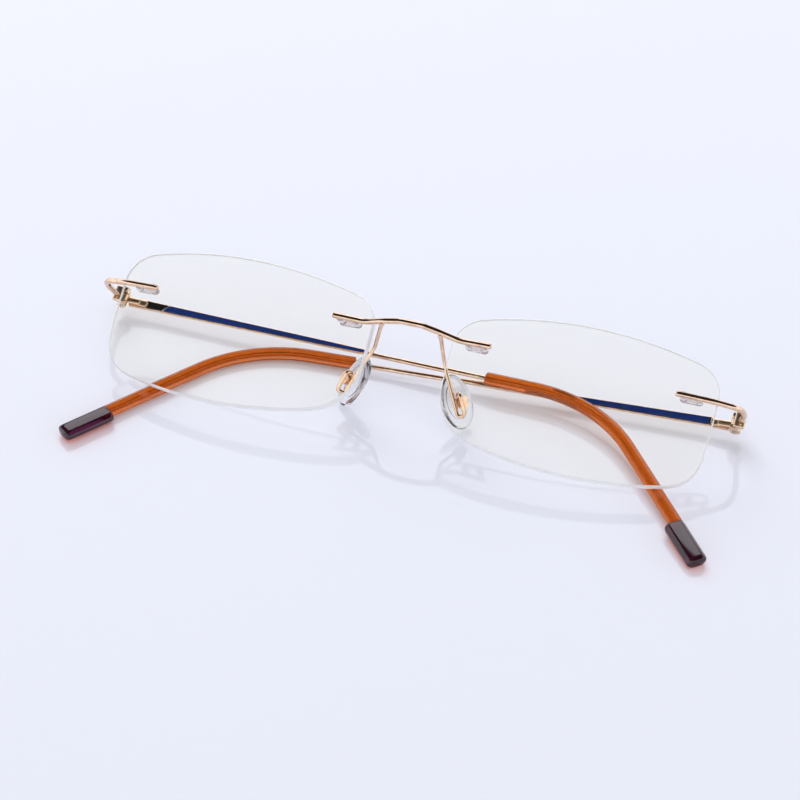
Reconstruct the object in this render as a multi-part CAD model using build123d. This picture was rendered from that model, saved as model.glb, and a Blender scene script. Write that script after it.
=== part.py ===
from build123d import *
import os
from math import sqrt, sin, cos, radians

# Rimless eyeglasses lying folded on a flat surface: the front faces up and forward,
# both temples are folded behind the lenses.  Millimetres, +Z up, +X along the width.
# The front is drawn in its own frame (x right, y back, z up, origin midway between
# the lenses on their front faces) and then laid down by FRONT_REST.  Parts that come
# in pairs are drawn for the +X side and mirrored.

# lenses
LENS_WIDTH = 53.5
LENS_HEIGHT = 31.0
LENS_GAP = 17.3
LENS_THICK = 1.9
LENS_CURVE = 116.0
LENS_WRAP = 4.1
LENS_BEVEL = 0.2
LENS_CORNERS = (6.5, 6.5, 8.0, 11.0)
LENS_CENTRE = (LENS_GAP + LENS_WIDTH) / 2

# lens mounting: two pins and one double sleeve at each of four places
PIN_RADIUS = 0.4
SLEEVE_BORE = 0.42
SLEEVE_RADIUS = 0.75
LENS_HOLE = 0.78
SLEEVE_STAND = 0.9
SLEEVE_WEB = 0.5
NASAL_PINS = (-23.5, -20.3)
TEMPLE_PINS = (19.9, 23.1)
NASAL_PIN_HEIGHT = 6.8
TEMPLE_PIN_HEIGHT = 6.1

# wires of the front
BAR_RADIUS = 0.6
BAR_GAP = 0.12
ARM_RADIUS = 0.4

# hinges
PANTOSCOPIC = 10.0
PIN_CENTRE = (65.0, 18.0, 6.9)
SCREW_RADIUS = 0.55
SCREW_HEAD = 0.9
BARREL_RADIUS = 1.15
BARREL_BORE = 0.6
BARREL_HALF = 0.75
LEAF_INNER = 0.83
LEAF_OUTER = 1.75

# temples
BLADE_DROP = 1.0
BLADE_THICK = 0.8
BLADE_ROOT = 2.0
BLADE_START = 1.3
BLADE_TAPER_END = 55.5
INLAY_START = 5.6
INLAY_ROOT = 1.5
INLAY_TOE = 0.7
INLAY_THICK = 0.14
LEFT_INLAY_END = 52.5
RIGHT_INLAY_END = 43.0
WIRE_RADIUS = 0.5
CORE_BORE = 0.53
TIP_START = 78.5
TIP_WIDE = 2.8
TIP_THIN = 1.7
PADDLE_LENGTH = 11.0
PADDLE_WIDE = 4.2
PADDLE_THIN = 2.4

# how each temple is bent and how it lies when folded:
# straight run, bend radius, bend angle, lean of the bend about the straight run,
# swing in the surface plane, rise towards the tip, whole length
LEFT_TEMPLE = (88.9, 28.8, 50.2, 17.9, -1.5, 0.62, 147.5)
RIGHT_TEMPLE = (88.0, 26.7, 51.0, 23.0, -2.6, -0.71, 145.0)

# nose pads
PAD_LENGTH = 11.4
PAD_WIDTH = 7.2
PAD_THICK = 1.7
PAD_ROUND = 0.7
PAD_STAND = 1.4
PAD_HINGE = (12.0, 8.2, -3.2)
PAD_UP = (-0.42, -0.52, 0.74)
PAD_FACING = (-0.66, 0.72, 0.13)
BOX_LONG = 2.4
BOX_WIDE = 2.0
BOX_DEEP = 1.7
CORE_START = 1.9
CORE_THICK = 0.5
CORE_OVAL = (2.2, 3.8)
LUG_BACK = -0.4
LUG_WIDE = 1.0
LUG_LONG = 1.1

# resting attitude of the front: lenses lie 32 degrees from the surface
LENS_TILT = 32.0
FRONT_REST = Location((-0.15, 4.63, 15.0), (LENS_TILT - 90, 0, 0))


def lens_location():
    """Frame of the right lens: x outwards, y back, z up, origin at the front vertex."""
    return Location((LENS_CENTRE, 0, 0), (0, 0, LENS_WRAP))


def sag(u, v):
    """Depth of the lens front behind its vertex at u across and v up."""
    return LENS_CURVE - sqrt(LENS_CURVE ** 2 - u * u - v * v)


def on_lens(u, v, proud=0.0):
    """Point of the front frame that stands proud of the right lens front at u, v."""
    return (lens_location() * Pos(u, sag(u, v) - proud, v)).position


def wire(points, radii, radius):
    """Round wire along straight runs joined by tangent arcs."""
    path = FilletPolyline(*points, radius=radii)
    section = Plane(path @ 0, z_dir=path % 0) * Circle(radius)
    return sweep(section, path=path)


def lens_outline():
    """Rounded rectangle, fuller at the top and drawn in towards the bottom."""
    half = LENS_WIDTH / 2
    rise = LENS_HEIGHT / 2
    top_nose = (-half - 0.1, rise - 4.1)
    top_side = (half - 0.1, rise - 3.0)
    low_side = (half - 0.8, -rise + 4.6)
    low_nose = (-half + 0.4, -rise + 5.1)
    sides = [
        ThreePointArc(top_nose, (2.0, rise), top_side),
        ThreePointArc(top_side, (half, 0.8), low_side),
        ThreePointArc(low_side, (0.4, -rise), low_nose),
        ThreePointArc(low_nose, (-half - 0.2, 0.5), top_nose),
    ]
    face = make_face(Curve() + sides)
    for corner, radius in zip((top_nose, top_side, low_side, low_nose), LENS_CORNERS):
        face = fillet(face.vertices().sort_by_distance((*corner, 0))[0], radius)
    return face


def pin_spots(across, height):
    """Places in the lens frame of one pair of mounting pins."""
    return [Pos(u, 0, height) * Rot(-90, 0, 0) for u in across]


def lens():
    """Right lens: a shell between two concentric spheres, cut to the outline and drilled."""
    blank = extrude(Plane.XZ * lens_outline(), 12, both=True)
    ball = Pos(0, LENS_CURVE, 0) * Sphere(LENS_CURVE)
    hollow = Pos(0, LENS_CURVE, 0) * Sphere(LENS_CURVE - LENS_THICK)
    body = ((blank & ball) - hollow).solids().sort_by(Axis.Y)[0]
    rims = [e for e in body.edges() if abs(e.tangent_at(0.5).Y) < 0.5]
    body = chamfer(rims, LENS_BEVEL)
    spots = pin_spots(NASAL_PINS, NASAL_PIN_HEIGHT)
    spots += pin_spots(TEMPLE_PINS, TEMPLE_PIN_HEIGHT)
    for spot in spots:
        body -= spot * Cylinder(LENS_HOLE, 40)
    return lens_location() * body


def pin_back(across, height):
    """Depth in the lens frame where a pair of sleeves ends behind the lens."""
    return max(sag(u, height) for u in across) + LENS_THICK + SLEEVE_STAND


def pins(across, height):
    """Two pins from inside the bar to just past the back of the sleeves."""
    back = pin_back(across, height) + 0.2
    rods = []
    for spot, u in zip(pin_spots(across, height), across):
        front = sag(u, height) - BAR_GAP - BAR_RADIUS
        rod = Cylinder(PIN_RADIUS, back - front, align=(Align.CENTER, Align.CENTER, Align.MIN))
        rods.append(lens_location() * spot * Pos(0, 0, front) * rod)
    return rods


def sleeve(across, height):
    """Clear double sleeve: two tubes through the lens joined by a web behind it."""
    back = pin_back(across, height)
    middle = sum(across) / 2
    span = across[1] - across[0]
    web = extrude(SlotCenterToCenter(span, 2 * SLEEVE_RADIUS), SLEEVE_WEB)
    body = Pos(middle, back - SLEEVE_WEB, height) * Rot(-90, 0, 0) * web
    for spot, u in zip(pin_spots(across, height), across):
        front = sag(u, height) + 0.1
        tube = Cylinder(SLEEVE_RADIUS, back - front, align=(Align.CENTER, Align.CENTER, Align.MIN))
        body += spot * Pos(0, 0, front) * tube
    for spot in pin_spots(across, height):
        body -= spot * Cylinder(SLEEVE_BORE, 40)
    return lens_location() * body


def bridge():
    """One wire that lies on both lenses and arches forward over the nose."""
    proud = BAR_GAP + BAR_RADIUS
    end = on_lens(-18.9, NASAL_PIN_HEIGHT, proud)
    rim = on_lens(-25.6, NASAL_PIN_HEIGHT, proud + 0.25)
    half = [
        (end.X, end.Y, end.Z),
        (rim.X, rim.Y, rim.Z + 0.1),
        (5.6, -1.5, 7.3),
        (2.2, -2.2, 7.7),
    ]
    points = half + [(-x, y, z) for x, y, z in reversed(half)]
    bar = wire(points, 5.0, BAR_RADIUS)
    for rod in pins(NASAL_PINS, NASAL_PIN_HEIGHT):
        bar += rod
        bar += mirror(rod, about=Plane.YZ)
    return bar


def pad_arm():
    """Thin wire from the back of the bridge, down behind the pad, round and up to its box."""
    beside = BOX_WIDE / 2 + ARM_RADIUS + 0.35
    beyond = BOX_LONG / 2 + ARM_RADIUS + 0.3
    behind = -BOX_DEEP / 2 - ARM_RADIUS - 0.2
    near_pad = [
        (0.7, 0.8, 9.0),
        (0.0, beside, -beyond - 0.6),
        (behind, 1.0, -beyond - 0.6),
        (behind, 0.7, beyond),
        (-0.2, 0.5, beyond),
        (-0.2, 0.5, BOX_LONG / 2 - 0.2),
    ]
    points = [(6.0, -1.2, 7.1)]
    points += [tuple((pad_location() * Pos(p)).position) for p in near_pad]
    return wire(points, [2.5, 0.6, 0.6, 0.5, 0.4], ARM_RADIUS) - bridge()


def end_piece():
    """Wire bar on the lens front that turns round the lens edge and back to the hinge."""
    proud = BAR_GAP + BAR_RADIUS
    inner = on_lens(18.4, TEMPLE_PIN_HEIGHT - 0.3, proud)
    rim = on_lens(26.0, TEMPLE_PIN_HEIGHT + 0.2, proud)
    x, y, z = PIN_CENTRE
    points = [
        (inner.X, inner.Y, inner.Z),
        (rim.X, rim.Y, rim.Z),
        (x + 1.3, rim.Y + 2.6, z - 0.2),
        (x + 1.9, y - 7.0, z),
        (x + 0.9, y - 2.2, z),
    ]
    bar = wire(points, [10.0, 4.0, 6.0], BAR_RADIUS)
    for rod in pins(TEMPLE_PINS, TEMPLE_PIN_HEIGHT):
        bar += rod
    return bar


def hinge_location():
    """Frame at the right hinge: x outwards, y along the hinge axis upwards, z forward."""
    axis = Vector(0, sin(radians(PANTOSCOPIC)), cos(radians(PANTOSCOPIC)))
    outwards = Vector(1, 0, 0)
    return Location(Plane(origin=PIN_CENTRE, x_dir=outwards, z_dir=outwards.cross(axis)))


def barrel(low, high, radius):
    """Cylinder round the hinge axis between two heights."""
    body = Cylinder(radius, high - low, align=(Align.CENTER, Align.CENTER, Align.MIN))
    return Rot(-90, 0, 0) * Pos(0, 0, low) * body


def front_knuckle():
    """Two leaves on a block at the end of the wire."""
    block = Pos(0.75, 0, 2.0) * Box(2.9, 2 * LEAF_OUTER, 1.3)
    block = fillet(block.edges().filter_by(Axis.Y), 0.4)
    body = block
    for low, high in ((LEAF_INNER, LEAF_OUTER), (-LEAF_OUTER, -LEAF_INNER)):
        middle = (low + high) / 2
        body += barrel(low, high, BARREL_RADIUS)
        body += Pos(0, middle, 0.9) * Box(2 * BARREL_RADIUS, high - low, 1.8)
    body -= barrel(-LEAF_OUTER - 1, LEAF_OUTER + 1, SCREW_RADIUS + 0.02)
    return hinge_location() * body - end_piece()


def hinge_screw():
    """Shank through all three barrels with a slotted head on top."""
    body = barrel(-LEAF_OUTER, LEAF_OUTER + 0.1, SCREW_RADIUS)
    head = barrel(LEAF_OUTER + 0.03, LEAF_OUTER + 0.53, SCREW_HEAD)
    head -= Pos(0, LEAF_OUTER + 0.5, 0) * Box(3, 0.4, 0.25)
    return hinge_location() * (body + head)


def pad_location():
    """Frame at the right pad box: x towards the nose, y along the screw, z up the pad."""
    return Location(Plane(origin=PAD_HINGE, x_dir=PAD_FACING, z_dir=PAD_UP))


def pad_box():
    """Small rounded box, open towards the pad, with holes for its screw."""
    body = Box(BOX_DEEP, BOX_WIDE, BOX_LONG)
    body = fillet(body.edges().filter_by(Axis.X), 0.6)
    body -= Pos(0.35, 0, 0) * Box(BOX_DEEP, 1.3, 1.6)
    body -= Rot(90, 0, 0) * Cylinder(0.36, 10)
    return pad_location() * body - pad_arm()


def pad_screw():
    """Screw across the pad box, on which the core of the pad rocks."""
    body = Rot(90, 0, 0) * Cylinder(0.34, BOX_WIDE + 0.1)
    head = Pos(0, -BOX_WIDE / 2 - 0.25, 0) * Rot(90, 0, 0) * Cylinder(0.6, 0.4)
    return pad_location() * (body + head)


def pad_core():
    """Hard core of the pad: an oval plate with the lug that the screw passes through."""
    plate = extrude(Plane.YZ.offset(CORE_START) * Ellipse(*CORE_OVAL), CORE_THICK)
    reach = CORE_START + 0.1 - LUG_BACK
    lug = Pos(LUG_BACK + reach / 2, 0, 0) * Box(reach, LUG_WIDE, LUG_LONG)
    lug -= Rot(90, 0, 0) * Cylinder(0.38, 10)
    return pad_location() * (plate + lug)


def nose_pad():
    """Soft oval pad moulded round the core."""
    oval = Plane.YZ.offset(PAD_STAND) * Ellipse(PAD_WIDTH / 2, PAD_LENGTH / 2)
    body = extrude(oval, PAD_THICK)
    body = fillet(body.edges(), PAD_ROUND)
    body -= extrude(Plane.YZ.offset(CORE_START) * Ellipse(*CORE_OVAL), CORE_THICK)
    body -= Pos(CORE_START - 0.5, 0, 0) * Box(1.2, LUG_WIDE, LUG_LONG)
    return pad_location() * body


def temple_path(shape, last, first=0.0):
    """Centre line of the round part of a temple, in the frame of its straight run."""
    run, radius, angle, lean = shape[:4]
    corner = radius * sin(radians(angle / 2)) / cos(radians(angle / 2))
    after = last - run - radius * radians(angle)
    turn = Vector(cos(radians(angle)), -sin(radians(angle)), 0)
    bend = Vector(run + corner, 0, 0)
    end = bend + turn * (corner + after)
    tilt = Rot(-lean, 0, 0)
    points = [(tilt * Pos(p)).position for p in (Vector(first, 0, 0), bend, end)]
    return FilletPolyline(*points, radius=radius)


def along(path, section):
    """Sweep of a section that starts square to a path."""
    return sweep(Plane(path @ 0, z_dir=path % 0, x_dir=(0, 1, 0)) * section, path=path)


def temple(shape):
    """Metal temple: flat blade at the hinge, round wire from mid length to the tip."""
    root = Plane.YZ.offset(BLADE_START) * Rectangle(BLADE_ROOT, BLADE_THICK)
    toe = Plane.YZ.offset(BLADE_TAPER_END) * Rectangle(2 * WIRE_RADIUS, BLADE_THICK)
    blade = loft([root.face(), toe.face()])
    path = temple_path(shape, shape[6] - 3.0, BLADE_TAPER_END - 2.0)
    return Pos(0, 0, -BLADE_DROP) * (blade + along(path, Circle(WIRE_RADIUS)))


def temple_knuckle():
    """Middle barrel with a stepped leaf that is fixed to the inner face of the blade."""
    top = BLADE_THICK / 2 - BLADE_DROP
    body = barrel(-BARREL_HALF, BARREL_HALF, BARREL_RADIUS)
    body += Pos(1.9, 0, top / 2 + 0.1) * Box(3.8, 2 * BARREL_HALF, 0.2 - top)
    body += Pos(4.2, 0, top + 0.25) * Box(2.2, 2 * BARREL_HALF, 0.5)
    body -= Pos(6.75, 0, top - 1.0) * Box(12, 4, 2.0)
    body -= barrel(-2, 2, BARREL_BORE)
    return body


def temple_inlay(end):
    """Thin dark strip along the inner face of the blade, as far as end."""
    root = Plane.YZ.offset(INLAY_START) * Rectangle(INLAY_ROOT, INLAY_THICK)
    toe = Plane.YZ.offset(end) * Rectangle(INLAY_TOE, INLAY_THICK)
    strip = loft([root.face(), toe.face()])
    return Pos(0, 0, (BLADE_THICK + INLAY_THICK) / 2 - BLADE_DROP) * strip


def temple_tip(shape):
    """Oval plastic sleeve over the wire that ends in a thicker squared paddle."""
    start = temple_path(shape, shape[6], TIP_START)
    sleeve_part = along(start, Ellipse(TIP_WIDE / 2, TIP_THIN / 2))
    bore = along(temple_path(shape, shape[6] - 2.8, TIP_START - 1.0), Circle(CORE_BORE))
    end = start @ 1
    onward = start % 1
    lean = Rot(-shape[3], 0, 0)
    upright = (lean * Pos(0, 0, 1)).position
    paddle_frame = Location(Plane(origin=end, x_dir=onward, z_dir=upright))
    paddle = Box(PADDLE_LENGTH, PADDLE_WIDE, PADDLE_THIN, align=(Align.MAX, Align.CENTER, Align.CENTER))
    paddle = chamfer(paddle.edges().filter_by(Axis.X), 0.55)
    paddle = fillet(paddle.edges().filter_by(Axis.Z), 0.8)
    body = sleeve_part + paddle_frame * Pos(0, -0.6, 0) * paddle
    return Pos(0, 0, -BLADE_DROP) * (body - bore)


def temple_rest(shape, side):
    """Where a temple lies when folded: its straight run points to the other side."""
    swing, rise = shape[4:6]
    pin = FRONT_REST * Pos(PIN_CENTRE)
    origin = Vector(side * PIN_CENTRE[0] + FRONT_REST.position.X, pin.position.Y, pin.position.Z)
    flat = cos(radians(rise))
    run = Vector(-side * flat * cos(radians(swing)), flat * sin(radians(swing)), sin(radians(rise)))
    lift = radians(LENS_TILT - PANTOSCOPIC)
    axis = Vector(0, cos(lift), sin(lift))
    axis = (axis - run * axis.dot(run)).normalized()
    inward = run.cross(axis) if side < 0 else axis.cross(run)
    return origin, run, axis, inward


def lay_temple(piece, shape, side):
    """Put a piece drawn in the temple frame in its folded place."""
    origin, run, axis, inward = temple_rest(shape, side)
    if side < 0:
        return Location(Plane(origin=origin, x_dir=run, z_dir=inward)) * piece
    flipped = mirror(piece, about=Plane.YZ)
    return Location(Plane(origin=origin, x_dir=-run, z_dir=inward)) * flipped


def save(name, piece):
    solids = piece.solids()
    shape = solids[0] if len(solids) == 1 else Compound(children=list(solids))
    shape.label = name
    export_step(shape, "parts/" + name + ".step")


def main():
    os.makedirs("parts", exist_ok=True)
    front_pairs = {
        "lens": lens(),
        "bridge_sleeve": sleeve(NASAL_PINS, NASAL_PIN_HEIGHT),
        "end_sleeve": sleeve(TEMPLE_PINS, TEMPLE_PIN_HEIGHT),
        "pad_arm": pad_arm(),
        "pad_box": pad_box(),
        "pad_screw": pad_screw(),
        "pad_core": pad_core(),
        "nose_pad": nose_pad(),
        "end_piece": end_piece(),
        "front_knuckle": front_knuckle(),
        "hinge_screw": hinge_screw(),
    }
    save("bridge", FRONT_REST * bridge())
    for name, piece in front_pairs.items():
        save("right_" + name, FRONT_REST * piece)
        save("left_" + name, FRONT_REST * mirror(piece, about=Plane.YZ))
    temples = (
        (-1, "left", LEFT_TEMPLE, LEFT_INLAY_END),
        (1, "right", RIGHT_TEMPLE, RIGHT_INLAY_END),
    )
    for side, word, shape, inlay_end in temples:
        temple_pieces = {
            "temple": temple(shape),
            "temple_knuckle": temple_knuckle(),
            "temple_inlay": temple_inlay(inlay_end),
            "temple_tip": temple_tip(shape),
        }
        for name, piece in temple_pieces.items():
            save(word + "_" + name, lay_temple(piece, shape, side))


main()
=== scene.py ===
from math import radians, sin, cos, tan, sqrt, pi, atan2, copysign

import bpy
from mathutils import Matrix, Quaternion, Vector
from mathutils.geometry import delaunay_2d_cdt


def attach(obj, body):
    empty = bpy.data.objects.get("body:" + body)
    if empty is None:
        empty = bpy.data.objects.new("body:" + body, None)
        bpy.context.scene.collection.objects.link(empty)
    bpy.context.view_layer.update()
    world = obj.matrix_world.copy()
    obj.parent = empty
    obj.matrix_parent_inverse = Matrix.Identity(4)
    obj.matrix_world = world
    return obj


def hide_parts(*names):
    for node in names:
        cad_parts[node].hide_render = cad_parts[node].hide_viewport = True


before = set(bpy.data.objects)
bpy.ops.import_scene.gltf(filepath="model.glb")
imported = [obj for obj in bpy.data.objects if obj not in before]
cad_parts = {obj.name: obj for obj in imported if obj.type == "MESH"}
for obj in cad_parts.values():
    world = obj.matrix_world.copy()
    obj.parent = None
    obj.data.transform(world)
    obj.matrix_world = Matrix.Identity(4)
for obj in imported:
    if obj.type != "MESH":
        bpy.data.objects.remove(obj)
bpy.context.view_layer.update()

# Rimless eyeglasses folded on a glossy table.  Shapes are drawn in millimetres, in the
# same frames as the CAD model, and scaled to metres when their mesh is made.
MM = 0.001
SIDES = (("left", -1), ("right", 1))

# ---------------------------------------------------------------- sizes shared with the CAD
LENS_WIDTH = 53.5
LENS_HEIGHT = 31.0
LENS_CENTRE = 35.4
LENS_THICK = 1.9
LENS_CURVE = 116.0
LENS_WRAP = 4.1
LENS_BEVEL = 0.2
LENS_HOLE = 0.78
LENS_CORNERS = (6.5, 6.5, 8.0, 11.0)
NASAL_PINS = (-23.5, -20.3)
TEMPLE_PINS = (19.9, 23.1)
NASAL_PIN_HEIGHT = 6.8
TEMPLE_PIN_HEIGHT = 6.1
BAR_RADIUS = 0.6
BAR_PROUD = 0.72
PIN_RADIUS = 0.4
PIN_BACK = LENS_THICK + 1.1
ARM_RADIUS = 0.4
PIN_CENTRE = Vector((65.0, 18.0, 6.9))
PAD_HINGE = Vector((12.0, 8.2, -3.2))
PAD_UP = Vector((-0.42, -0.52, 0.74))
PAD_FACING = Vector((-0.66, 0.72, 0.13))
PAD_HALF_WIDTH = 3.6
PAD_HALF_LENGTH = 5.7
PAD_STAND = 1.4
PAD_THICK = 1.7
BLADE_DROP = 1.0
BLADE_FACE = 0.4 - BLADE_DROP
BLADE_START = 1.3
INLAY_START = 5.6
INLAY_END = {"left": 52.5, "right": 43.0}
# end of the painted dark reflection at the start of the left blade's inlay
PAINTED_REFLECTION_END = 9.2
BEAD_END = 9.65
BEAD_SLANT = 0.55
BLADE_END = 55.5
TIP_START = 78.5
TIP_HALF_WIDE = 1.38
TIP_HALF_THIN = 0.82
TIP_CUT = 0.55
PADDLE_LENGTH = 11.0
PADDLE_HALF_WIDE = 2.1
PADDLE_HALF_THIN = 1.2
PADDLE_CUT = 0.8
PADDLE_OFFSET = 0.6
LENS_TILT = 32.0
PANTOSCOPIC = 10.0
HINGE_TILT = LENS_TILT - PANTOSCOPIC
BARREL_RADIUS = 1.15
LEAF_INNER = 0.83
LEAF_OUTER = 1.75
FRONT_SHIFT = -0.15
FRONT = Matrix.Translation((FRONT_SHIFT, 4.63, 15.0)) @ Matrix.Rotation(radians(LENS_TILT - 90), 4, "X")
LENS_FRAME = Matrix.Translation((LENS_CENTRE, 0, 0)) @ Matrix.Rotation(radians(LENS_WRAP), 4, "Z")
HOLES = [(u, NASAL_PIN_HEIGHT) for u in NASAL_PINS] + [(u, TEMPLE_PIN_HEIGHT) for u in TEMPLE_PINS]
MIRROR = Matrix.Scale(-1, 4, (1, 0, 0))
# straight run, bend radius, bend angle, lean of the bend, swing, rise, whole length
TEMPLES = {
    "left": (88.9, 28.8, 50.2, 17.9, -1.5, 0.62, 147.5),
    "right": (88.0, 26.7, 51.0, 23.0, -2.6, -0.71, 145.0),
}


def front_frame(side):
    """Frame of the front for one side, mirrored on the left."""
    return FRONT if side > 0 else FRONT @ MIRROR


def temple_frame(word, side):
    """Frame of a folded temple: x along its straight run, y up the hinge, z towards the lens."""
    swing, rise = map(radians, TEMPLES[word][4:6])
    pin = FRONT @ PIN_CENTRE
    origin = Vector((side * PIN_CENTRE.x + FRONT_SHIFT, pin.y, pin.z))
    run = Vector((-side * cos(rise) * cos(swing), cos(rise) * sin(swing), sin(rise)))
    axis = Vector((0, cos(radians(HINGE_TILT)), sin(radians(HINGE_TILT))))
    axis = (axis - run * axis.dot(run)).normalized()
    inward = run.cross(axis) * -side
    frame_of = Matrix((run, axis, inward)).transposed().to_4x4()
    return Matrix.Translation(origin) @ frame_of


def hinge_frame():
    """Frame at the right hinge: x outwards, y up the hinge axis, z forward."""
    tilt = radians(PANTOSCOPIC)
    out, axis = Vector((1, 0, 0)), Vector((0, sin(tilt), cos(tilt)))
    turn = Matrix((out, axis, out.cross(axis))).transposed().to_4x4()
    return Matrix.Translation(PIN_CENTRE) @ turn


def pad_frame():
    """Frame at the right pad screw: x from the pad box to the pad's crown, z along the pad."""
    up = PAD_UP.normalized()
    facing = (PAD_FACING - up * PAD_FACING.dot(up)).normalized()
    turn = Matrix((facing, up.cross(facing), up)).transposed().to_4x4()
    return Matrix.Translation(PAD_HINGE) @ turn


# ---------------------------------------------------------------- mesh building
class Shape:
    """Points, faces and the material number of each face, gathered before a mesh is made."""

    def __init__(self):
        self.points = []
        self.faces = []
        self.marks = []

    def face(self, corners, mark=0):
        self.faces.append(tuple(corners))
        self.marks.append(mark)

    def ring(self, points):
        first = len(self.points)
        self.points += [Vector(p) for p in points]
        return list(range(first, first + len(points)))

    def join_rings(self, low, high, mark=0):
        count = len(low)
        for i in range(count):
            j = (i + 1) % count
            self.face((low[i], low[j], high[j], high[i]), mark)

    def close(self, ring, middle, mark=0, turned=False):
        centre = self.ring([middle])[0]
        count = len(ring)
        for i in range(count):
            j = (i + 1) % count
            corners = (ring[j], ring[i], centre) if turned else (ring[i], ring[j], centre)
            self.face(corners, mark)

    def piece(self, name, place, materials, sharp=35.0):
        """Object with this shape, placed by a matrix in millimetres."""
        mesh = bpy.data.meshes.new(name)
        points = [(place @ p) * MM for p in self.points]
        faces = self.faces
        if place.determinant() < 0:
            faces = [face[::-1] for face in faces]
        mesh.from_pydata(points, [], faces)
        for material in materials:
            mesh.materials.append(material)
        mesh.polygons.foreach_set("material_index", self.marks)
        mesh.validate()
        mesh.shade_smooth()
        mesh.set_sharp_from_angle(angle=radians(sharp))
        made = bpy.data.objects.new(name, mesh)
        bpy.context.scene.collection.objects.link(made)
        return made


def rounded_path(points, radii, step=1.0, turn_step=6.0):
    """Points along straight runs joined by tangent arcs."""
    stations = [Vector(points[0])]
    for before, corner, after, radius in zip(points, points[1:], points[2:], radii):
        back = (Vector(before) - Vector(corner)).normalized()
        onward = (Vector(after) - Vector(corner)).normalized()
        half = back.angle(onward) / 2
        middle = Vector(corner) + (back + onward).normalized() * (radius / sin(half))
        start = Vector(corner) + back * (radius / tan(half)) - middle
        finish = Vector(corner) + onward * (radius / tan(half)) - middle
        count = max(3, round((180 - 2 * half * 180 / pi) / turn_step))
        for i in range(count + 1):
            stations.append(middle + start.slerp(finish, i / count).normalized() * radius)
    stations.append(Vector(points[-1]))
    path = [stations[0]]
    for a, b in zip(stations, stations[1:]):
        count = max(1, round((b - a).length / step))
        path += [a.lerp(b, (i + 1) / count) for i in range(count)]
    return path


def sweep(shape, path, section, up, domes=(0.3, 0.3), mark=0):
    """Sweep an outline along a path and dome its ends; section(run) gives the outline."""
    across = Vector(up)
    stations = []
    run = 0.0
    last = len(path) - 1
    for i, point in enumerate(path):
        if i:
            run += (point - path[i - 1]).length
        tangent = (path[min(i + 1, last)] - path[max(i - 1, 0)]).normalized()
        across = (across - tangent * across.dot(tangent)).normalized()
        at = point
        if i == 0:
            at = point + tangent * domes[0]
        if i == last:
            at = point - tangent * domes[1]
        other = tangent.cross(across)
        spokes = [across * u + other * v for u, v in section(run)]
        stations.append((at, tangent, spokes))
    stack = [shape.ring([at + spoke for spoke in spokes]) for at, tangent, spokes in stations]
    for low, high in zip(stack, stack[1:]):
        shape.join_rings(low, high, mark)
    add_dome(shape, stations[0], stack[0], -1, domes[0], mark)
    add_dome(shape, stations[-1], stack[-1], 1, domes[1], mark)


def add_dome(shape, station, ring, sign, height, mark):
    """Dome over the ring at one end of a sweep; sign is 1 at its finish and -1 at its start."""
    at, tangent, spokes = station
    for k in (1, 2, 3, 4):
        slope = k * pi / 10
        middle = at + tangent * (sign * height * sin(slope))
        inner = shape.ring([middle + spoke * cos(slope) for spoke in spokes])
        pair = (ring, inner) if sign > 0 else (inner, ring)
        shape.join_rings(*pair, mark)
        ring = inner
    shape.close(ring, at + tangent * (sign * height), mark, turned=sign < 0)


def oval(half_a, half_b, square=2.0, count=32):
    """Outline between an ellipse (square 2) and a rounded rectangle (square 6 and over)."""
    outline = []
    for i in range(count):
        turn = 2 * pi * (i + 0.5) / count
        c, s = cos(turn), sin(turn)
        outline.append((
            half_a * copysign(abs(c) ** (2 / square), c),
            half_b * copysign(abs(s) ** (2 / square), s),
        ))
    return outline


def wire_section(radius, flare=0.0, reach=0.8):
    """Round section that swells at the start of the wire, where it is soldered on."""
    def section(run):
        swell = flare * max(0.0, 1 - run / reach) ** 2
        return oval(radius + swell, radius + swell, count=28)
    return section


# ---------------------------------------------------------------- lenses
def sag(u, v, radius=LENS_CURVE):
    return LENS_CURVE - sqrt(radius ** 2 - u * u - v * v)


def on_lens(u, v, proud):
    return LENS_FRAME @ Vector((u, sag(u, v) - proud, v))


def circle_through(a, b, c):
    """Centre and radius of the circle through three points of a plane."""
    ab, ac = b - a, c - a
    twice = 2 * (ab.x * ac.y - ab.y * ac.x)
    u = (ac.y * ab.length_squared - ab.y * ac.length_squared) / twice
    v = (ab.x * ac.length_squared - ac.x * ab.length_squared) / twice
    return a + Vector((u, v)), Vector((u, v)).length


def corner_centre(first, second, radius, near):
    """Centre of the arc of a radius that touches two circles from inside, near a corner."""
    (a, ra), (b, rb) = first, second
    ra -= radius
    rb -= radius
    span = (b - a).length
    along = (span ** 2 + ra ** 2 - rb ** 2) / (2 * span)
    aside = sqrt(ra ** 2 - along ** 2)
    x = (b - a).normalized()
    y = Vector((-x.y, x.x))
    return min((a + x * along + y * s for s in (aside, -aside)), key=lambda p: (p - near).length)


def arc(centre, radius, start, end, step):
    """Points from start towards end along the short way round a circle, without the end."""
    a = atan2(start.y - centre.y, start.x - centre.x)
    b = atan2(end.y - centre.y, end.x - centre.x)
    turn = (b - a + pi) % (2 * pi) - pi
    count = max(3, round(abs(turn) * radius / step))
    return [
        centre + Vector((cos(a + turn * i / count), sin(a + turn * i / count))) * radius
        for i in range(count)
    ]


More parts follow.
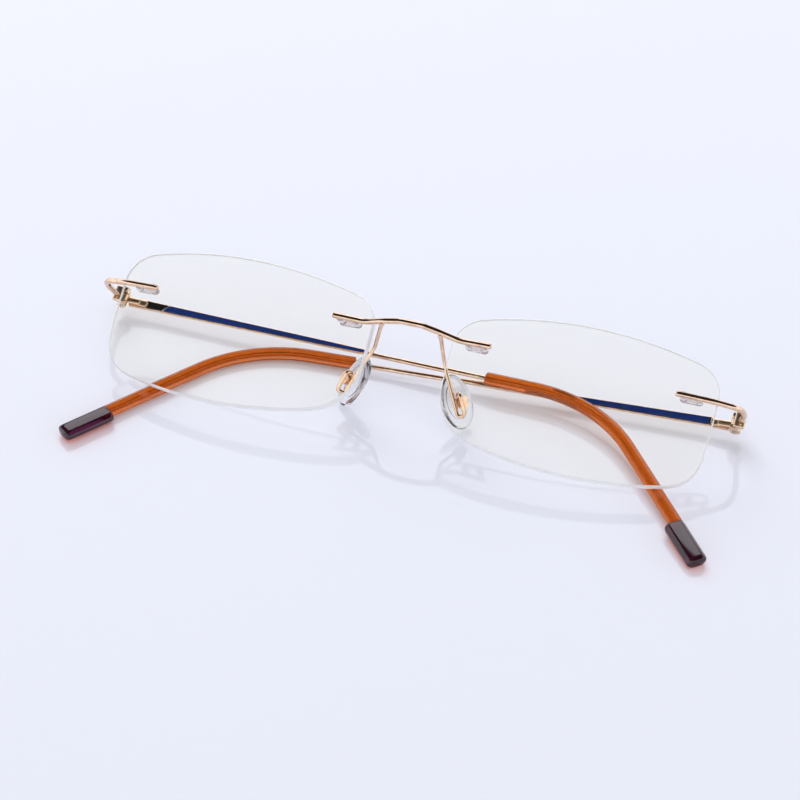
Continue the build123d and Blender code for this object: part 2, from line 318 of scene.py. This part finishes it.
def lens_outline(inset=0.0, step=0.45):
    """Rounded outline of the right lens, clockwise from the nose side of the top edge."""
    half = LENS_WIDTH / 2
    rise = LENS_HEIGHT / 2
    top_nose = Vector((-half - 0.1, rise - 4.1))
    top_side = Vector((half - 0.1, rise - 3.0))
    low_side = Vector((half - 0.8, -rise + 4.6))
    low_nose = Vector((-half + 0.4, -rise + 5.1))
    corners = (top_nose, top_side, low_side, low_nose)
    bulges = (Vector((2.0, rise)), Vector((half, 0.8)), Vector((0.4, -rise)), Vector((-half - 0.2, 0.5)))
    sides = [circle_through(corners[i], bulges[i], corners[(i + 1) % 4]) for i in range(4)]
    rounds = [
        corner_centre(sides[i - 1], sides[i], LENS_CORNERS[i], corners[i]) for i in range(4)
    ]

    def touch(side, i):
        centre, radius = sides[side]
        return centre + (rounds[i] - centre).normalized() * radius

    outline = []
    for i in range(4):
        j = (i + 1) % 4
        outline += arc(rounds[i], LENS_CORNERS[i], touch(i - 1, i), touch(i, i), step)
        outline += arc(sides[i][0], sides[i][1], touch(i, i), touch(i, j), step)
    if not inset:
        return outline
    count = len(outline)
    moved = []
    for i, point in enumerate(outline):
        tangent = (outline[(i + 1) % count] - outline[i - 1]).normalized()
        moved.append(point + Vector((tangent.y, -tangent.x)) * inset)
    return moved


def hole_loop(u, v, count=24):
    turns = [2 * pi * i / count for i in range(count)]
    return [Vector((u, v)) + Vector((cos(turn), sin(turn))) * LENS_HOLE for turn in turns]


def grid_points(rim, holes, pitch=1.6):
    """Staggered points over the lens that keep clear of its rim and holes."""
    points = []
    columns = range(int(-LENS_WIDTH / 2 / pitch) - 1, int(LENS_WIDTH / 2 / pitch) + 2)
    rows = range(int(-LENS_HEIGHT / 2 / pitch) - 1, int(LENS_HEIGHT / 2 / pitch) + 2)
    for i in columns:
        for j in rows:
            point = Vector(((i + 0.5 * (j % 2)) * pitch, j * pitch * 0.87))
            if is_inside(point, rim, 0.7) and all(not is_near(point, loop, 0.5) for loop in holes):
                points.append(point)
    return points


def lens_triangles(rim, holes):
    """Points of the lens in its own plane, rim and hole loops first, and its triangles."""
    flat = []
    edges = []
    for loop in [rim] + holes:
        first = len(flat)
        flat += loop
        edges += [(first + i, first + (i + 1) % len(loop)) for i in range(len(loop))]
    flat += grid_points(rim, holes)
    cut = delaunay_2d_cdt(flat, edges, [], 1, 1e-5)
    spots, faces = cut[0], cut[2]
    kept = []
    for face in faces:
        middle = sum((spots[i] for i in face), Vector((0, 0))) / len(face)
        if all((middle - Vector(hole)).length > LENS_HOLE * 0.98 for hole in HOLES):
            kept.append(face)
    return spots, kept


def lens_shape():
    """Shell between two spheres with a bevelled, ground edge and four drilled holes."""
    shape = Shape()
    outer = lens_outline()
    rim = lens_outline(inset=LENS_BEVEL)
    holes = [hole_loop(u, v) for u, v in HOLES]
    spots, faces = lens_triangles(rim, holes)
    back_curve = LENS_CURVE - LENS_THICK
    front = shape.ring([(p.x, sag(p.x, p.y), p.y) for p in spots])
    back = shape.ring([(p.x, sag(p.x, p.y, back_curve), p.y) for p in spots])
    for face in faces:
        shape.face([front[i] for i in face])
        shape.face([back[i] for i in reversed(face)])
    front_edge = shape.ring([(p.x, sag(p.x, p.y) + LENS_BEVEL, p.y) for p in outer])
    back_edge = shape.ring([(p.x, sag(p.x, p.y, back_curve) - LENS_BEVEL, p.y) for p in outer])
    shape.join_rings(front[:len(rim)], front_edge, 1)
    shape.join_rings(front_edge, back_edge, 1)
    shape.join_rings(back_edge, back[:len(rim)], 1)
    start = len(rim)
    for loop in holes:
        end = start + len(loop)
        shape.join_rings(front[start:end], back[start:end], 1)
        start = end
    return shape


def is_inside(point, loop, margin):
    inside = False
    for a, b in zip(loop, loop[1:] + loop[:1]):
        if (a.y > point.y) != (b.y > point.y):
            if point.x < a.x + (point.y - a.y) / (b.y - a.y) * (b.x - a.x):
                inside = not inside
    return inside and not is_near(point, loop, margin)


def is_near(point, loop, margin):
    return any((p - point).length < margin for p in loop)


# ---------------------------------------------------------------- wires
def add_pins(shape, across, height, side=1):
    """Pins of one mounting, from inside the bar to behind the sleeves."""
    back = max(sag(u, height) for u in across) + PIN_BACK
    for u in across:
        ends = [LENS_FRAME @ Vector((u, y, height)) for y in (sag(u, height) - BAR_PROUD, back)]
        ends = [Vector((side * p.x, p.y, p.z)) for p in ends]
        sweep(shape, rounded_path(ends, []), wire_section(PIN_RADIUS), (0, 0, 1), (0.0, 0.25))


def bridge_shape():
    shape = Shape()
    half = [
        on_lens(-18.9, NASAL_PIN_HEIGHT, BAR_PROUD),
        on_lens(-25.6, NASAL_PIN_HEIGHT, BAR_PROUD + 0.25) + Vector((0, 0, 0.1)),
        Vector((5.6, -1.5, 7.3)),
        Vector((2.2, -2.2, 7.7)),
    ]
    points = half + [Vector((-p.x, p.y, p.z)) for p in reversed(half)]
    sweep(shape, rounded_path(points, [5.0] * 6, turn_step=3.0), wire_section(BAR_RADIUS), (0, 0, 1))
    for side in (-1, 1):
        add_pins(shape, NASAL_PINS, NASAL_PIN_HEIGHT, side)
    return shape


def end_piece_shape():
    shape = Shape()
    inner = on_lens(18.4, TEMPLE_PIN_HEIGHT - 0.3, BAR_PROUD)
    rim = on_lens(26.0, TEMPLE_PIN_HEIGHT + 0.2, BAR_PROUD)
    x, y, z = PIN_CENTRE
    points = [
        inner,
        rim,
        Vector((x + 1.3, rim.y + 2.6, z - 0.2)),
        Vector((x + 1.9, y - 7.0, z)),
        Vector((x + 0.9, y - 2.2, z)),
    ]
    path = rounded_path(points, [10.0, 4.0, 6.0], turn_step=4.0)
    sweep(shape, path, wire_section(BAR_RADIUS), (0, 0, 1))
    add_pins(shape, TEMPLE_PINS, TEMPLE_PIN_HEIGHT)
    return shape


def pad_arm_shape():
    """Wire from the back of the bridge, down behind the pad, round and up to the pad box."""
    shape = Shape()
    near_pad = [
        (0.7, 0.8, 9.0), (0.0, 1.75, -2.5), (-1.45, 1.0, -2.5),
        (-1.45, 0.7, 1.9), (-0.2, 0.5, 1.9), (-0.2, 0.5, 1.0),
    ]
    points = [Vector((6.0, -1.2, 7.1))] + [pad_frame() @ Vector(p) for p in near_pad]
    path = rounded_path(points, [2.5, 0.6, 0.6, 0.5, 0.4], turn_step=10.0)
    sweep(shape, path, wire_section(ARM_RADIUS, flare=0.22, reach=1.8), (1, 0, 0))
    return shape


# ---------------------------------------------------------------- hinges and pad screws
def rod(shape, start, end, section, up, domes, mark=0):
    sweep(shape, rounded_path([start, end], [], step=0.4), lambda run: section, up, domes, mark)


def front_knuckle_shape():
    """Two barrels of the hinge on a rounded block at the end of the wire."""
    shape = Shape()
    block = oval(1.15, 0.6, 2.4)
    rod(shape, (0.75, -LEAF_OUTER, 2.0), (0.75, LEAF_OUTER, 2.0), block, (1, 0, 0), (0.3, 0.3))
    for sign in (-1, 1):
        low, high = sorted((sign * LEAF_INNER, sign * LEAF_OUTER))
        barrel = oval(BARREL_RADIUS, BARREL_RADIUS)
        rod(shape, (0, low, 0), (0, high, 0), barrel, (1, 0, 0), (0.08, 0.08))
        cheek = oval((high - low) / 2, 0.9, 4.0)
        rod(shape, (0, (low + high) / 2, 0.4), (0, (low + high) / 2, 1.8), cheek, (0, 1, 0), (0.05, 0.05))
    return shape


def temple_knuckle_shape():
    """Middle barrel of the hinge with a leaf that steps down along the blade."""
    shape = Shape()
    barrel = oval(BARREL_RADIUS, BARREL_RADIUS)
    rod(shape, (0, -0.75, 0), (0, 0.75, 0), barrel, (1, 0, 0), (0.08, 0.08))
    rod(shape, (0.7, 0, -0.22), (3.8, 0, -0.22), oval(0.74, 0.42, 2.0), (0, 1, 0), (0.1, 0.3))
    rod(shape, (3.5, 0, -0.36), (5.3, 0, -0.36), oval(0.75, 0.27, 2.0), (0, 1, 0), (0.1, 0.3))
    return shape


def pad_screw_shape():
    """Shank through the pad box with a domed head."""
    shape = Shape()
    rod(shape, (0, 1.05, 0), (0, -1.2, 0), oval(0.34, 0.34), (1, 0, 0), (0.05, 0.05))
    rod(shape, (0, -1.05, 0), (0, -1.45, 0), oval(0.6, 0.6), (1, 0, 0), (0.05, 0.28))
    return shape


# ---------------------------------------------------------------- temples
def temple_path(word, first, last):
    run, radius, angle, lean = TEMPLES[word][:4]
    corner = radius * tan(radians(angle / 2))
    after = last - run - radius * radians(angle)
    turn = Vector((cos(radians(angle)), -sin(radians(angle)), 0))
    bend = Vector((run + corner, 0, 0))
    tilt = Matrix.Rotation(radians(-lean), 3, "X")
    points = [Vector((first, 0, 0)), bend, tilt @ (bend + turn * (corner + after))]
    drop = Vector((0, 0, -BLADE_DROP))
    return [p + drop for p in rounded_path(points, [radius], turn_step=3.0)]


def temple_shape(word):
    """Flat blade that narrows and turns into round wire."""
    shape = Shape()

    def section(run):
        share = min(1.0, run / (BLADE_END - BLADE_START))
        late = max(0.0, min(1.0, share * 5 - 4))
        half_wide = 1.0 - 0.5 * share
        return oval(half_wide, 0.4 + 0.1 * late, 9.0 - 7.0 * late, count=40)

    path = temple_path(word, BLADE_START, TEMPLES[word][6] - 3.0)
    sweep(shape, path, section, (0, 1, 0), (0.15, 0.3))
    return shape


def inlay_shape(word):
    """Blue enamel on the inner face of the blade; the left one starts with a painted dark reflection of
    the ceiling on bare metal, up to a slanted bead.
    """
    shape = Shape()
    last = INLAY_END[word]
    flat = [(-1, 0.0), (1, 0.0), (1, 0.08), (0.92, 0.13), (0.0, 0.14), (-0.92, 0.13), (-1, 0.08)]
    fields = ((INLAY_START, last, 0.0, 0.0, 0),)
    if word == "left":
        fields = (
            # the first left field is painted black, standing for the dark ceiling mirrored in bare metal
            (INLAY_START, PAINTED_REFLECTION_END, 0.0, BEAD_SLANT, 1),
            (PAINTED_REFLECTION_END, BEAD_END, BEAD_SLANT, BEAD_SLANT, 2),
            (BEAD_END, last, BEAD_SLANT, 0.0, 0),
        )
    for start, end, first_slant, last_slant, mark in fields:
        count = max(1, round((end - start) / 2.0))
        rows = []
        for i in range(count + 1):
            share = i / count
            x = start + (end - start) * share
            half = 0.75 - 0.4 * (x - INLAY_START) / (last - INLAY_START)
            lean = first_slant * (1 - share) + last_slant * share
            rows.append(shape.ring([(x + lean * y, y * half, BLADE_FACE + z) for y, z in flat]))
        for low, high in zip(rows, rows[1:]):
            shape.join_rings(low, high, mark)
        shape.face(list(reversed(rows[0])), mark)
        shape.face(rows[-1], mark)
    return shape


def tip_shape(word):
    """Translucent sleeve over the wire that steps up to a dark, chamfered paddle."""
    shape = Shape()
    length, lean = TEMPLES[word][6], TEMPLES[word][3]
    sleeve_path = temple_path(word, TIP_START, length - PADDLE_LENGTH + 1.5)

    outline = chamfered(TIP_HALF_WIDE, TIP_HALF_THIN, TIP_CUT, 0.1)
    sweep(shape, sleeve_path, lambda run: outline, (0, 1, 0), (0.5, 0.0))
    add_paddle(shape, word, length, lean)
    return shape


def add_paddle(shape, word, length, lean):
    """Chamfered block at the end of the tip, rounded off at both ends."""
    end_path = temple_path(word, BLADE_START, length)
    onward = (end_path[-1] - end_path[-2]).normalized()
    upright = Matrix.Rotation(radians(-lean), 3, "X") @ Vector((0, 0, 1))
    across = upright.cross(onward)
    end = end_path[-1]
    profile = [
        (0.05, 0.45), (0.2, 0.75), (0.5, 0.93), (1.0, 1.0),
        (5.5, 1.0), (10.0, 1.0), (10.5, 0.95), (10.77, 0.82), (10.92, 0.6),
    ]
    start = end - onward * PADDLE_LENGTH - across * PADDLE_OFFSET
    outline = chamfered(PADDLE_HALF_WIDE, PADDLE_HALF_THIN, PADDLE_CUT, 0.2)
    rings = []
    for along, size in profile:
        shrink = 0.45 + 0.55 * size
        middle = start + onward * along
        rings.append(shape.ring([middle + (across * u + upright * v) * shrink for u, v in outline]))
    for low, high in zip(rings, rings[1:]):
        shape.join_rings(low, high, 1)
    shape.close(rings[0], start, 1, turned=True)
    shape.close(rings[-1], start + onward * (PADDLE_LENGTH - 0.04), 1)


def chamfered(half_a, half_b, cut, soft=0.12):
    """Rectangle with cut corners, each edge of a cut slightly rounded."""
    corners = []
    for a, b in ((1, 1), (-1, 1), (-1, -1), (1, -1)):
        pair = [(a * half_a, b * (half_b - cut)), (a * (half_a - cut), b * half_b)]
        corners += pair if a * b > 0 else pair[::-1]
    outline = []
    count = len(corners)
    for i, corner in enumerate(corners):
        here = Vector(corner)
        before = (Vector(corners[i - 1]) - here).normalized() * soft
        after = (Vector(corners[(i + 1) % count]) - here).normalized() * soft
        outline += [here + before, here + (before + after) * 0.27, here + after]
    return [tuple(p) for p in outline]


# ---------------------------------------------------------------- nose pads
def pad_shape():
    """Soft teardrop pad: flat at the back, crowned on the side that meets the nose."""
    shape = Shape()
    count = 64
    outline = []
    for i in range(count):
        turn = 2 * pi * i / count
        narrow = 1.0 - 0.1 * (1 + sin(turn)) / 2
        outline.append((PAD_HALF_WIDTH * cos(turn) * narrow, PAD_HALF_LENGTH * sin(turn)))
    profile = [
        (0.25, 0.12), (0.5, 0.1), (0.72, 0.04), (0.86, 0.0), (0.93, 0.05), (0.975, 0.2), (1.0, 0.45),
        (1.0, 0.62), (0.975, 0.86), (0.92, 1.06), (0.84, 1.22), (0.72, 1.38), (0.55, 1.53),
        (0.36, 1.63), (0.18, 1.68),
    ]
    rings = []
    for size, depth in profile:
        rings.append(shape.ring([(PAD_STAND + depth, y * size, z * size) for y, z in outline]))
    for low, high in zip(rings, rings[1:]):
        shape.join_rings(low, high)
    shape.close(rings[0], (PAD_STAND + 0.12, 0, 0), turned=True)
    shape.close(rings[-1], (PAD_STAND + PAD_THICK, 0, 0))
    return shape


# ---------------------------------------------------------------- materials
class Nodes:
    """A material's node tree with short ways to add and join nodes."""

    def __init__(self, name):
        self.material = bpy.data.materials.new(name)
        self.material.use_nodes = True
        self.tree = self.material.node_tree
        self.tree.nodes.clear()
        self.output = self.tree.nodes.new("ShaderNodeOutputMaterial")

    def add(self, kind, inputs=None):
        node = self.tree.nodes.new("ShaderNode" + kind)
        for name, value in (inputs or {}).items():
            if isinstance(value, bpy.types.NodeSocket):
                self.tree.links.new(value, node.inputs[name])
            else:
                node.inputs[name].default_value = value
        return node

    def finish(self, shader):
        self.tree.links.new(shader, self.output.inputs["Surface"])
        return self.material


def noise(tree, scale, detail=3.0):
    """Noise on the object's own coordinates, in cells per metre."""
    coords = tree.add("TexCoord")
    inputs = {"Vector": coords.outputs["Object"], "Scale": scale, "Detail": detail}
    return tree.add("TexNoise", inputs).outputs["Fac"]


def spread(tree, value, low, high):
    return tree.add("MapRange", {"Value": value, "To Min": low, "To Max": high}).outputs["Result"]


def tinted(tree, value, dark, light):
    ramp = tree.add("ValToRGB", {"Fac": value})
    for element, colour, position in zip(ramp.color_ramp.elements, (dark, light), (0.35, 0.65)):
        element.color = (*colour, 1)
        element.position = position
    return ramp.outputs["Color"]


def bumped(tree, value, distance):
    return tree.add("Bump", {"Height": value, "Distance": distance}).outputs["Normal"]


def polished_metal(name, dark, light, rough):
    """Polished plating with a fine drawn grain and slight changes of tone."""
    tree = Nodes(name)
    grain = noise(tree, 900.0)
    shader = tree.add("BsdfPrincipled", {
        "Base Color": tinted(tree, grain, dark, light),
        "Metallic": 1.0,
        "Roughness": spread(tree, grain, *rough),
        "Normal": bumped(tree, noise(tree, 5000.0, 2.0), 0.000002),
    })
    return tree.finish(shader.outputs["BSDF"])


def lit_through(tree, shader, shadow):
    """Shader that lets lamps through, tinted by shadow, so that what is under glass stays lit."""
    through = tree.add("BsdfTransparent", {"Color": (*shadow, 1)})
    path = tree.add("LightPath")
    indirect = tree.add("Math", {0: path.outputs["Is Shadow Ray"], 1: path.outputs["Is Diffuse Ray"]})
    indirect.operation = "MAXIMUM"
    shaders = {0: indirect.outputs["Value"], 1: shader, 2: through.outputs["BSDF"]}
    return tree.add("MixShader", shaders).outputs["Shader"]


def clear(name, tint, ior, rough, shadow, bump=0.0, weight=1.0):
    """Clear or tinted plastic; weight is the share of light that goes through."""
    tree = Nodes(name)
    haze = noise(tree, 400.0)
    inputs = {
        "Base Color": tinted(tree, haze, [c * 0.992 for c in tint], tint),
        "Transmission Weight": weight,
        "IOR": ior,
        "Roughness": spread(tree, haze, *rough),
    }
    if bump:
        inputs["Normal"] = bumped(tree, haze, bump)
    glass = tree.add("BsdfPrincipled", inputs)
    return tree.finish(lit_through(tree, glass.outputs["BSDF"], shadow))


def coated_glass(name, tint, ior, coating_ior):
    """Lens glass with an anti-reflection coating: it bends light but mirrors little of it."""
    tree = Nodes(name)
    haze = noise(tree, 250.0)
    colour = tinted(tree, haze, [c * 0.996 for c in tint], tint)
    bend = tree.add("BsdfRefraction", {"Color": colour, "Roughness": 0.0, "IOR": ior})
    mirror = tree.add("BsdfAnisotropic", {"Roughness": spread(tree, haze, 0.01, 0.04)})
    share = tree.add("Fresnel", {"IOR": coating_ior})
    shaders = {0: share.outputs["Fac"], 1: bend.outputs["BSDF"], 2: mirror.outputs["BSDF"]}
    return tree.finish(lit_through(tree, tree.add("MixShader", shaders).outputs["Shader"], (1, 1, 1)))


def enamel_and_painted_reflection(name, dark, light):
    """Glossy enamel over metal, with a faint brushed grain under its clear coat; also a black coat that
    paints the reflection of the dark ceiling on bare metal.
    """
    tree = Nodes(name)
    grain = noise(tree, 350.0)
    shader = tree.add("BsdfPrincipled", {
        "Base Color": tinted(tree, grain, dark, light),
        "Metallic": 0.2,
        "Roughness": spread(tree, grain, 0.22, 0.3),
        "Coat Weight": 0.5,
        "Coat Roughness": 0.05,
    })
    return tree.finish(shader.outputs["BSDF"])


FINE_BUMP = 0.00001
GOLD = polished_metal("gold_metal", (0.78, 0.52, 0.36), (0.92, 0.68, 0.51), (0.05, 0.12))
SATIN = polished_metal("satin_gold", (0.88, 0.62, 0.42), (1.0, 0.8, 0.6), (0.25, 0.4))
SCREW = polished_metal("screw_metal", (0.5, 0.41, 0.34), (0.7, 0.6, 0.52), (0.12, 0.25))
SILVER = polished_metal("silver_line", (0.75, 0.78, 0.85), (0.9, 0.93, 1.0), (0.3, 0.45))
LENS = coated_glass("lens_glass", (1.0, 0.997, 0.968), 1.5, 1.1)
LENS_EDGE = clear("lens_edge", (1.0, 1.0, 1.0), 1.5, (0.5, 0.6), (0.95, 0.95, 0.97), weight=0.2)
SLEEVE = clear("clear_sleeve", (0.86, 0.8, 0.82), 1.45, (0.05, 0.2), (0.88, 0.87, 0.9), FINE_BUMP, 0.8)
SILICONE = clear("pad_silicone", (0.985, 0.985, 1.0), 1.41, (0.03, 0.12), (0.95, 0.95, 0.97), FINE_BUMP)
CORE = clear("pad_core", (0.97, 0.97, 0.98), 1.5, (0.05, 0.15), (0.95, 0.95, 0.96))
AMBER = clear("amber_plastic", (0.76, 0.19, 0.025), 1.49, (0.03, 0.08), (0.8, 0.5, 0.32), weight=0.78)
DARK_TIP = clear("dark_tip", (0.06, 0.012, 0.035), 1.6, (0.03, 0.07), (0.75, 0.3, 0.16), weight=0.8)
BLUE = enamel_and_painted_reflection("blue_enamel", (0.008, 0.028, 0.17), (0.01, 0.036, 0.2))
# painted reflection: near-black coat standing in for the dark ceiling mirrored in the bare metal of the
# left blade
PAINTED_DARK_REFLECTION = enamel_and_painted_reflection("black_enamel", (0.01, 0.009, 0.008), (0.014, 0.012, 0.01))


# ---------------------------------------------------------------- pieces
def stand_for(made, body, node):
    """Let a piece move with a body and take the place of a CAD node."""
    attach(made, body)
    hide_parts(node)


def add_front():
    """Bridge, lenses, wires, hinge halves and nose pads."""
    stand_for(bridge_shape().piece("bridge_wire", FRONT, [GOLD]), "front", "bridge")
    for word, side in SIDES:
        place = front_frame(side)
        lens = lens_shape().piece(word + "_lens_blank", place @ LENS_FRAME, [LENS, LENS_EDGE], 20.0)
        stand_for(lens, "front", word + "_lens")
        bar = end_piece_shape().piece(word + "_end_wire", place, [GOLD])
        stand_for(bar, "front", word + "_end_piece")
        arm = pad_arm_shape().piece(word + "_arm_wire", place, [GOLD])
        stand_for(arm, "front", word + "_pad_arm")
        knuckle = front_knuckle_shape().piece(word + "_front_hinge", place @ hinge_frame(), [SATIN])
        stand_for(knuckle, "front", word + "_front_knuckle")
        screw = pad_screw_shape().piece(word + "_pad_rivet", place @ pad_frame(), [SCREW])
        stand_for(screw, "front", word + "_pad_screw")
        pad = pad_shape().piece(word + "_pad_silicone", place @ pad_frame(), [SILICONE], 60.0)
        stand_for(pad, word + "_pad_body", word + "_nose_pad")


def add_temples():
    """Blade, hinge barrel, enamel strip and tip of each temple; the left strip starts with a painted dark
    reflection.
    """
    for word, side in SIDES:
        place = temple_frame(word, side)
        body = word + "_temple_body"
        blade = temple_shape(word).piece(word + "_blade", place, [GOLD])
        stand_for(blade, body, word + "_temple")
        leaf = temple_knuckle_shape().piece(word + "_temple_hinge", place, [SATIN])
        stand_for(leaf, body, word + "_temple_knuckle")
        # the left strip carries a painted dark reflection ahead of its blue enamel
        strip = inlay_shape(word).piece(word + "_enamel", place, [BLUE, PAINTED_DARK_REFLECTION, SILVER], 30.0)
        stand_for(strip, body, word + "_temple_inlay")
        tip = tip_shape(word).piece(word + "_tip_sleeve", place, [AMBER, DARK_TIP])
        stand_for(tip, body, word + "_temple_tip")


def finish_cad_nodes():
    """Give the CAD pieces that stay their materials."""
    kinds = (("sleeve", SLEEVE), ("pad_core", CORE), ("screw", SCREW))
    for name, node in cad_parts.items():
        material = next((m for word, m in kinds if name.endswith(word)), GOLD)
        node.data.materials.clear()
        node.data.materials.append(material)


# ---------------------------------------------------------------- stage
FLOOR_HALF = 3.0
WINDOW = (-0.21, 0.73, 0.65)
DARK_CEILING = (0.02, 0.018, 0.018, 1)
BRIGHT_WALL = (0.93, 0.95, 1.0, 1)
COLOUR_MIX_INPUTS = (6, 7)


def add_floor():
    """Glossy pale surface that mirrors the glasses faintly."""
    corners = [(-FLOOR_HALF, -FLOOR_HALF, 0), (FLOOR_HALF, -FLOOR_HALF, 0)]
    corners += [(-x, -y, z) for x, y, z in corners]
    mesh = bpy.data.meshes.new("floor")
    mesh.from_pydata(corners, [], [(0, 1, 2, 3)])
    floor = bpy.data.objects.new("floor", mesh)
    bpy.context.scene.collection.objects.link(floor)
    tree = Nodes("floor")
    shader = tree.add("BsdfPrincipled", {
        "Base Color": (0.8, 0.815, 0.915, 1),
        "Roughness": 0.04,
        "IOR": 1.5,
    })
    mesh.materials.append(tree.finish(shader.outputs["BSDF"]))


def area(name, position, size, energy):
    """Soft square lamp aimed at the glasses, out of sight of reflections."""
    data = bpy.data.lights.new(name, "AREA")
    data.size = size
    data.energy = energy
    lamp = bpy.data.objects.new(name, data)
    bpy.context.scene.collection.objects.link(lamp)
    lamp.location = position
    lamp.rotation_mode = "QUATERNION"
    lamp.rotation_quaternion = (-Vector(position)).to_track_quat("-Z", "Y")
    lamp.visible_glossy = False
    lamp.visible_transmission = False


def add_world():
    """Bright walls and a window under a dark ceiling, which draws the dark line on the wires."""
    world = bpy.data.worlds.new("studio")
    bpy.context.scene.world = world
    world.use_nodes = True
    tree = world.node_tree

    def node(kind, **inputs):
        """New node; an input is given by its name, or as i and its number."""
        made = tree.nodes.new("ShaderNode" + kind)
        for name, value in inputs.items():
            key = name.replace("_", " ") if name[0].isupper() else int(name[1:])
            socket = made.inputs[key]
            if isinstance(value, bpy.types.NodeSocket):
                tree.links.new(value, socket)
            else:
                socket.default_value = value
        return made

    towards = node("TexCoord").outputs["Generated"]
    height = node("SeparateXYZ", Vector=towards).outputs["Z"]
    low = node("MapRange", Value=height, From_Min=0.42, From_Max=0.52, To_Min=1.0, To_Max=0.0)
    window = node("VectorMath", i0=towards, i1=WINDOW)
    window.operation = "DOT_PRODUCT"
    behind = node("MapRange", Value=window.outputs["Value"], From_Min=0.955, From_Max=0.97)
    lit = node("Math", i0=low.outputs["Result"], i1=behind.outputs["Result"])
    lit.operation = "MAXIMUM"
    colour = node("Mix", i0=lit.outputs["Value"])
    colour.data_type = "RGBA"
    for index, shade in zip(COLOUR_MIX_INPUTS, (DARK_CEILING, BRIGHT_WALL)):
        colour.inputs[index].default_value = shade
    strength = node("MapRange", Value=behind.outputs["Result"], To_Min=1.25, To_Max=2.2)
    background = tree.nodes["Background"]
    tree.links.new(colour.outputs[2], background.inputs["Color"])
    tree.links.new(strength.outputs["Result"], background.inputs["Strength"])


# ---------------------------------------------------------------- camera
CAMERA_TARGET = Vector((-2.19, 10.16, 0.3)) * MM
CAMERA_AZIMUTH = radians(16.0)
CAMERA_ELEVATION = radians(40.555)
CAMERA_DISTANCE = 0.6046
CAMERA_ROLL = radians(1.18)
CAMERA_LENS = 134.46


def add_camera():
    level = cos(CAMERA_ELEVATION)
    back = Vector((sin(CAMERA_AZIMUTH) * level, -cos(CAMERA_AZIMUTH) * level, sin(CAMERA_ELEVATION)))
    data = bpy.data.cameras.new("camera")
    data.sensor_width = 36.0
    data.lens = CAMERA_LENS
    data.clip_start = 0.05
    data.clip_end = 20.0
    camera = bpy.data.objects.new("camera", data)
    bpy.context.scene.collection.objects.link(camera)
    camera.location = CAMERA_TARGET + back * CAMERA_DISTANCE
    camera.rotation_mode = "QUATERNION"
    camera.rotation_quaternion = (-back).to_track_quat("-Z", "Y") @ Quaternion((0, 0, 1), CAMERA_ROLL)
    bpy.context.scene.camera = camera


add_camera()
add_floor()
add_world()
area("key", (-0.7, 0.9, 0.9), 0.7, 6.8)
area("fill", (0.1, -0.1, 1.5), 2.4, 17.0)
add_front()
add_temples()
finish_cad_nodes()
bpy.context.scene.view_settings.view_transform = "Standard"
